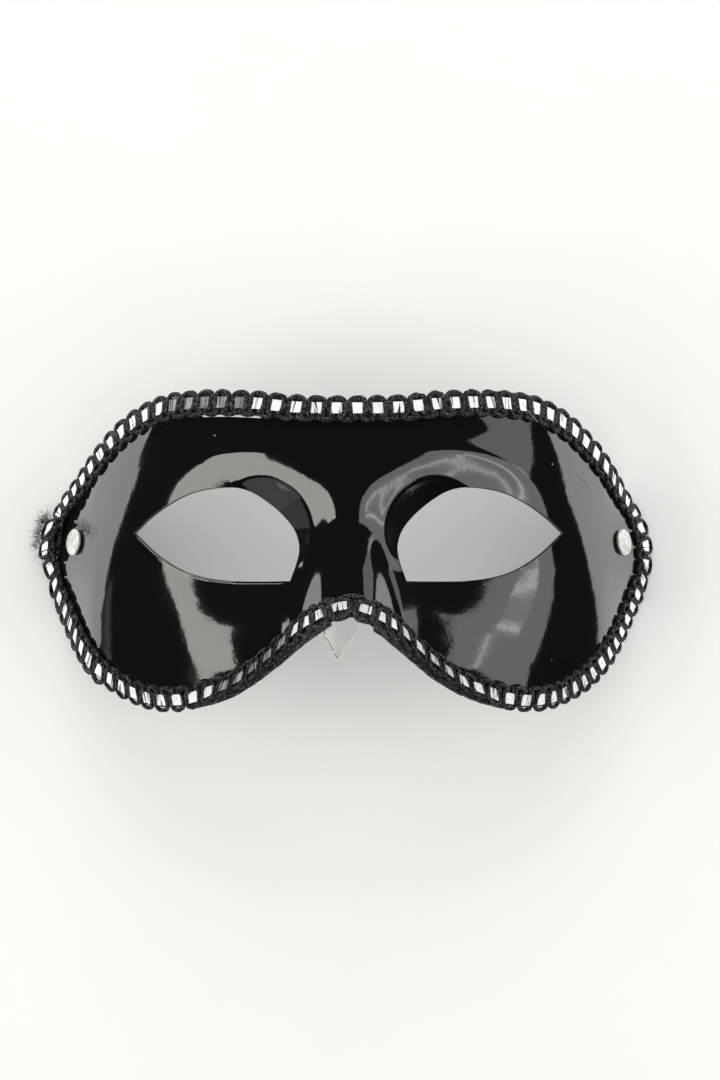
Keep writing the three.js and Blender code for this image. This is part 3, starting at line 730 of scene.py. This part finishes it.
# the darker windows get more creases and a low painted tone, as painted dark reflection
PAINTED_DARK_CREASES, PAINTED_DARK_REFLECTION = (3, 7), (0.05, 0.5)
# Beside the nose the windows are narrower, lower and greyer, the grey a painted darker reflection;
# this fades out from x to x
NOSE_FOIL = dict(x=(22, 32), share=0.7, outer=-0.75, shine=0.72)


def build_foil():
    points, faces, uv = [], [], []
    for middle, pitch in zip(MIDDLES, PITCHES):
        x, y, _ = edge_at(middle)
        from_x, to_x = PAINTED_DARK_TOP if y > 0 else PAINTED_DARK_BOTTOM
        painted_darkening = from_x < x < to_x
        nose = (1 - smoothstep(abs(x), *NOSE_FOIL["x"])) * (y < 0)
        share = FOIL_SHARE * lerp(1, NOSE_FOIL["share"], nose)
        count = chance.integers(*(PAINTED_DARK_CREASES if painted_darkening else CREASES))
        at = np.sort(chance.uniform(-CREASE_REACH, CREASE_REACH, count))
        at = middle + at * pitch / BRAID_PITCH
        half = chance.uniform(*CREASE_WIDE, count) / 2
        inside = np.sort(np.concatenate([at - half, at + half]))
        ends = [middle - share * pitch], [middle + share * pitch]
        inside = np.clip(inside, *ends)
        cuts = np.concatenate([ends[0], inside, ends[1]])
        low = chance.uniform(FOIL_LOW, FOIL_HIGH, len(cuts))
        high = low + chance.normal(0, FOIL_TILT, len(cuts))
        skew = chance.normal(0, CREASE_SKEW, (len(cuts) + 1) // 2)
        skew = np.repeat(skew, 2)[:len(cuts)]
        skew[[0, -1]] = 0
        across = lerp(FOIL_OUTER, NOSE_FOIL["outer"], nose)
        outer, _ = braid_place(cuts - skew, np.full(len(cuts), across), low)
        inner, _ = braid_place(cuts + skew, np.full(len(cuts), FOIL_INNER), high)
        for k in range(len(cuts) - 1):
            base = len(points)
            points.extend([outer[k], outer[k + 1], inner[k + 1], inner[k]])
            faces.append([base, base + 3, base + 2, base + 1])
            shine = chance.uniform(*FOIL_SHINE) * lerp(1, NOSE_FOIL["shine"], nose)
            # every second facet is a crease, painted dark as shade
            if k % 2:
                shine = chance.uniform(*CREASE_PAINTED_SHADE)
            # the darker windows' facets get a painted dark reflection
            elif painted_darkening:
                shine = chance.uniform(*PAINTED_DARK_REFLECTION)
            uv.extend([(shine, middle)] * 4)
    return np.array(points), faces, uv


foil_points, foil_faces, foil_shine = build_foil()
foil = made("foil_windows", foil_points, foil_faces, foil_silver(), "silver_foil",
            uv=foil_shine, smooth=False)
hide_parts("foil_strip")

# Rivets
RIVET_INSIDE = -SHELL_THICKNESS - RIVET_GAP
RIVET_PROFILE = [
    (0, RIVET_INSIDE - 0.8), (2.7, RIVET_INSIDE - 0.8), (2.92, RIVET_INSIDE - 0.72),
    (3, RIVET_INSIDE - 0.55), (3, RIVET_INSIDE - 0.15), (2.9, RIVET_INSIDE - 0.03),
    (2.7, RIVET_INSIDE), (1.5, RIVET_INSIDE), (1.5, RIVET_GAP), (3.5, RIVET_GAP),
    (3.7, RIVET_GAP + 0.05), (3.8, RIVET_GAP + 0.18), (3.8, RIVET_GAP + 0.45),
    (3.76, RIVET_GAP + 0.58), (3.66, RIVET_GAP + 0.68), (3.45, RIVET_GAP + 0.74),
    (3.2, RIVET_GAP + 0.72), (2.4, RIVET_GAP + 0.8), (1.2, RIVET_GAP + 0.85),
    (0, RIVET_GAP + 0.87),
]
RIVET_SIDES = 72


def build_rivet(side):
    here = np.array([side * RIVET["x"]]), np.array([RIVET["y"]])
    up = normal(*here)[0]
    place = on_face(*here)[0]
    u = unit(np.cross((0, 1, 0), up))
    v = np.cross(up, u)
    turn = np.arange(RIVET_SIDES) / RIVET_SIDES * 2 * np.pi
    points, faces = [place + up * RIVET_PROFILE[0][1]], []
    for r, z in RIVET_PROFILE[1:-1]:
        points.extend(place + up * z + r * (np.cos(t) * u + np.sin(t) * v) for t in turn)
    points.append(place + up * RIVET_PROFILE[-1][1])
    last = len(points) - 1
    for j in range(RIVET_SIDES):
        k = (j + 1) % RIVET_SIDES
        faces.append([0, 1 + k, 1 + j])
        for row in range(len(RIVET_PROFILE) - 3):
            a = 1 + row * RIVET_SIDES
            faces.append([a + j, a + k, a + RIVET_SIDES + k, a + RIVET_SIDES + j])
        a = 1 + (len(RIVET_PROFILE) - 3) * RIVET_SIDES
        faces.append([a + j, a + k, last])
    return np.array(points), faces


rivet_metal = rivet_silver()
for name, side in (("left", -1), ("right", 1)):
    rivet = made("rivet_cap_" + name, *build_rivet(side), rivet_metal, "rivet_metal")
    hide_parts("rivet_" + name)

# Clear film tab
TAB_GRID = 22
FILM_LEFT = [(-6.8, -15.5), (-7.5, -24.9), (-4.0, -30.6)]
FILM_RIGHT = [(3.6, -14.5), (3.2, -21), (1.3, -25.3), (-3.7, -30.6)]
TAB_ROLL, TAB_CUT = 0.42, 0.13  # the curled left edge and the cut right edge
TAB_ROUGH, TAB_ROLL_SIDES = 0.15, 6


def tab_side(corners, shares):
    """Points on a bent line from the tab's root to its tip, at shares of its length."""
    corners = np.array(corners, float)
    steps = np.linalg.norm(np.diff(corners, axis=0), axis=1)
    lengths = np.concatenate([[0], np.cumsum(steps)])
    where = shares * lengths[-1]
    return np.stack([np.interp(where, lengths, corners[:, k]) for k in (0, 1)], -1)


def tab_place(at):
    level = np.maximum(at[..., 1], TAB_EDGE)
    under = normal(at[..., 0], level)
    front = np.stack([at[..., 0], at[..., 1], height(at[..., 0], level)], -1)
    front = front - under * (SHELL_THICKNESS + TAB_GAP)
    front[..., 2] -= TAB_BEND * (level - at[..., 1])
    return front, under


def build_tab():
    f = np.linspace(0, 1, TAB_GRID + 1)
    a, b = tab_side(FILM_LEFT, f), tab_side(FILM_RIGHT, f)
    at = a[:, None] + (b - a)[:, None] * f[None, :, None]
    front, under = tab_place(at)
    back = front - under * TAB_THICKNESS
    n = TAB_GRID + 1
    points = np.vstack([front.reshape(-1, 3), back.reshape(-1, 3)])
    faces, lower = [], n * n
    for r in range(TAB_GRID):
        for c in range(TAB_GRID):
            a0, b0, d0, e0 = r * n + c, r * n + c + 1, (r + 1) * n + c + 1, (r + 1) * n + c
            faces.append([a0, e0, d0, b0])
            faces.append([lower + v for v in (a0, b0, d0, e0)])
            if r == 0:
                faces.append([a0, b0, lower + b0, lower + a0])
            if r == TAB_GRID - 1:
                faces.append([d0, e0, lower + e0, lower + d0])
            if c == 0:
                faces.append([e0, a0, lower + a0, lower + e0])
            if c == TAB_GRID - 1:
                faces.append([b0, d0, lower + d0, lower + b0])
    parts = [(points, faces, np.zeros((sum(map(len, faces)), 2)))]
    for side, radius in ((a, TAB_ROLL), (b, TAB_CUT)):
        line, lift = tab_place(side)
        line = line - lift * TAB_THICKNESS / 2
        rough = radius * (1 + chance.normal(0, TAB_ROUGH, len(line)))
        parts.append(tube(line, lift, rough, rough, TAB_ROLL_SIDES))
    return joined(parts)


film = film_clear()
tab_mesh = build_tab()
tab = made("clear_film_tab", *tab_mesh[:2], film, "clear_film", smooth=False)
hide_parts("clear_tab")

# Frayed end of the cord at the left temple, fluff, and small marks
TUFT = [  # middle along the edge, spread, across, heading, strands, length
    (-1.2, 1.0, (-3.2, -0.5), (-0.7, 0.9, 0.2), 90, (1.2, 3.8)),
    (-3.5, 1.2, (-3.6, -2.2), (-1, 0.2, 0.1), 60, (1.2, 3.2)),
    (-6.4, 0.8, (-3.6, -2.2), (-1, -0.3, 0), 40, (0.8, 2.6)),
]
TUFT_OVER, TUFT_SCATTER = (0.9, 2.6), (0.3, 0.45, 0.4)
FLUFF = dict(x=-76.4, y=4.2, spread=1.1, heading=(0.9, 0.7, 0.5), strands=48, length=(1.5, 4.6),
             over=(0.2, 1.2), scatter=0.45)
STRAND_CURL, STRAND_RADIUS, STRAND_END = 0.33, (0.045, 0.085), 0.45
STRAND_STEPS, STRAND_SIDES = 7, 3
STRAND_ASIDE = (0.3, 0.2, 1)  # a direction that no strand heads in
LINE_SAMPLES, LINE_STEP, LINE_SIDES = 200, 8, 5
FIBRE_PATH = [(47.6, 39.2), (49.6, 36.6), (52.2, 33.8)]  # one light fibre over the braid
FIBRE_OVER, FIBRE_RADIUS = 1.9, 0.09
SCRATCH_PATH, SCRATCH_RADIUS = [(64.6, 20), (67.2, 17.6), (68.9, 15.8)], 0.05
PAINTED_HIGHLIGHT_LINES = [((0.02, 0.55), 0.75), ((0.3, 0.97), 0.35), ((0.45, 0.8), 0.9)]  # painted highlight lines on the film's cut edge: range, inset
CUT_POINTS, CUT_RADIUS = 60, 0.07


def strand(start, heading, length, radius):
    path = [np.array(start)]
    heading = unit(np.array(heading, float))
    for _ in range(STRAND_STEPS):
        heading = unit(heading + chance.normal(0, STRAND_CURL, 3))
        path.append(path[-1] + heading * length / STRAND_STEPS)
    thin = np.linspace(1, STRAND_END, len(path)) * radius
    side = unit(np.cross(heading, STRAND_ASIDE))
    return tube(np.array(path), np.tile(side, (len(path), 1)), thin, thin, STRAND_SIDES)


def build_tuft():
    parts = []
    for middle, spread, across, heading, count, length in TUFT:
        for _ in range(count):
            distance = np.array([ROUTE_TOTAL + middle + chance.normal(0, spread)])
            start, _ = braid_place(distance, chance.uniform(*across), chance.uniform(*TUFT_OVER))
            toward = heading + chance.normal(0, TUFT_SCATTER)
            parts.append(strand(start[0], toward, chance.uniform(*length),
                                chance.uniform(*STRAND_RADIUS)))
    return joined(parts)


def build_fluff():
    parts = []
    for _ in range(FLUFF["strands"]):
        x, y = (FLUFF[key] + chance.normal(0, FLUFF["spread"]) for key in "xy")
        start = on_face(x, y) + normal(x, y) * chance.uniform(*FLUFF["over"])
        toward = FLUFF["heading"] + chance.normal(0, FLUFF["scatter"], 3)
        parts.append(strand(start, toward, chance.uniform(*FLUFF["length"]), STRAND_RADIUS[0]))
    return joined(parts)


def face_line(at, over, radius):
    """A thin line over the face through plane points."""
    at = Curve(at, samples=LINE_SAMPLES).fine[::LINE_STEP]
    up = normal(at[:, 0], at[:, 1])
    return tube(on_face(at[:, 0], at[:, 1]) + up * over, up, radius, radius, LINE_SIDES)


def painted_highlight_lines():
    """Painted highlight: light grey lines for the cut edge of the clear film catching the light
    beside the rim of the left eye hole.
    """
    parts = []
    for (from_, to), inset in PAINTED_HIGHLIGHT_LINES:
        at = eye_lower.along(np.linspace(to, from_, CUT_POINTS))
        turn = unit(np.gradient(at, axis=0))
        at = at + np.stack([turn[:, 1], -turn[:, 0]], -1) * -inset
        parts.append(face_line(at * (-1, 1), 0, CUT_RADIUS))
    return joined(parts)


def thin_piece(name, slot, mesh, material_name, dark, light):
    points, faces, uv = mesh
    made(name, points, faces, fibre(material_name, dark, light), slot, uv=uv)


thin_piece("frayed_tuft", "black_cord", joined([build_tuft(), build_fluff()]),
           "frayed_cord", dark=(0.008, 0.008, 0.008), light=(0.05, 0.045, 0.04))
thin_piece("stray_thread", "black_cord", face_line(FIBRE_PATH, FIBRE_OVER, FIBRE_RADIUS),
           "light_fibre", dark=(0.16, 0.155, 0.14), light=(0.42, 0.41, 0.38))
# painted highlight along the film's cut edge at the left eye hole
thin_piece("painted_highlight_film_cut", "clear_film", painted_highlight_lines(),
           "cut_highlight_paint", dark=(0.2, 0.2, 0.19), light=(0.5, 0.5, 0.48))
thin_piece("temple_scratch", "black_gloss_plastic", face_line(SCRATCH_PATH, 0, SCRATCH_RADIUS),
           "scratch", dark=(0.004, 0.004, 0.004), light=(0.03, 0.03, 0.03))

# Stage
CAMERA = Vector((0.00322, 0.00331, 0.85))
FRAME_HEIGHT = 0.31644  # height of the floor that the photo takes in
SENSOR_HEIGHT = 36  # millimetres, as Blender has it
CLIP_NEAR, CLIP_FAR = 0.01, 20
FLOOR_REACH, FLOOR_LEVEL = 3.0, -0.00005
# The seams of the right softbox, which shine through its cloth as soft bright lines
SEAM_LINES = [(0.22, 0.07), (0.11, 0.075), (0.045, 0.07)]  # width and power
SEAM_FIRST, SEAM_STEP, UPRIGHT_SEAM_AHEAD, UPRIGHT_SEAM_SHARE = 1.09, 0.005, 0.02, 0.5
# Walls that light the floor and aren't seen in the film
SOFT_WALLS = [("back", (0, 2.2), 51), ("left", (-2.2, 0), 54), ("right", (2.2, 0), 33.5)]


def stage_floor():
    mesh = bpy.data.meshes.new("floor")
    corners = ((-1, -1), (1, -1), (1, 1), (-1, 1))
    mesh.from_pydata([(x * FLOOR_REACH, y * FLOOR_REACH, FLOOR_LEVEL) for x, y in corners],
                     [], [(0, 1, 2, 3)])
    floor = bpy.data.objects.new("floor", mesh)
    bpy.context.scene.collection.objects.link(floor)
    n = Nodes("pale_board", IOR=1.4)
    n.set("Base Color", n.mix(n.noise(30, 4), *BOARD_COLOURS))
    n.set("Roughness", n.ramp(n.noise(200, 2), *NOISE_MOST, 0.75, 0.9))
    mesh.materials.append(n.material)


def camera():
    lens = bpy.data.cameras.new("camera")
    lens.sensor_fit = "VERTICAL"
    lens.sensor_height = SENSOR_HEIGHT
    lens.lens = SENSOR_HEIGHT * CAMERA.z / FRAME_HEIGHT
    lens.clip_start, lens.clip_end = CLIP_NEAR, CLIP_FAR
    looking = bpy.data.objects.new("camera", lens)
    looking.location = CAMERA
    bpy.context.scene.collection.objects.link(looking)
    bpy.context.scene.camera = looking


def panel(name, centre, facing, size, power, colour, seen=True, roll=0):
    light = bpy.data.lights.new(name, "AREA")
    light.shape = "RECTANGLE"
    light.size, light.size_y = size
    light.energy = power
    light.color = colour
    lamp = bpy.data.objects.new(name, light)
    lamp.location = centre
    turned = Quaternion((1, 0, 0), math.radians(roll))
    lamp.rotation_euler = (turned @ Vector(facing).to_track_quat("-Z", "Y")).to_euler()
    lamp.visible_glossy = seen
    bpy.context.scene.collection.objects.link(lamp)


def world(colour, strength):
    room = bpy.data.worlds.new("room")
    bpy.context.scene.world = room
    room.use_nodes = True
    sky = room.node_tree.nodes["Background"]
    sky.inputs[0].default_value = (*colour, 1)
    sky.inputs[1].default_value = strength
    room.cycles_visibility.glossy = False  # the film reflects the panels alone


camera()
stage_floor()
world((1, 0.995, 0.98), 0.54)
# Softboxes and cards: place, direction faced, size, power, colour
panel("softbox_left", (-1.1, -0.46, 1.16), (1, 0, 0), (1.15, 0.59), 3.42, (1, 0.985, 0.91),
      roll=5)
panel("softbox_right", (1.1, -0.39, 1.15), (-1, 0, 0), (1.29, 1.18), 3.12, (0.99, 0.985, 0.99),
      roll=-3)
panel("wall_right", (1.1, 0.72, 0.47), (-1, 0, 0), (0.81, 0.86), 1.18, (0.97, 0.97, 1), roll=39)
panel("low_card", (-0.8, -1.27, 0.25), (0.53, 0.85, 0), (1.45, 0.4), 0.4, (1, 0.98, 0.98))
panel("low_strip", (-1.63, -0.5, 0.11), (0.956, 0.292, 0), (0.91, 0.1), 0.045, (1, 0.98, 0.98))
for step, (width, power) in enumerate(SEAM_LINES):
    ahead = SEAM_FIRST - SEAM_STEP * step
    panel("seam", (ahead, -0.52, 1.2), (-1, 0, 0), (0.84, width), power, (1, 1, 0.99))
    panel("upright_seam", (ahead - UPRIGHT_SEAM_AHEAD, -0.06, 0.96), (-1, 0, 0), (width, 0.36),
          power * UPRIGHT_SEAM_SHARE, (1, 1, 0.99), roll=-20)
for name, place, power in SOFT_WALLS:
    panel("soft_wall_" + name, (*place, 1), (-place[0], -place[1], 0), (3, 2), power,
          (1, 0.995, 0.98), seen=False)
bpy.context.scene.view_settings.view_transform = "Standard"
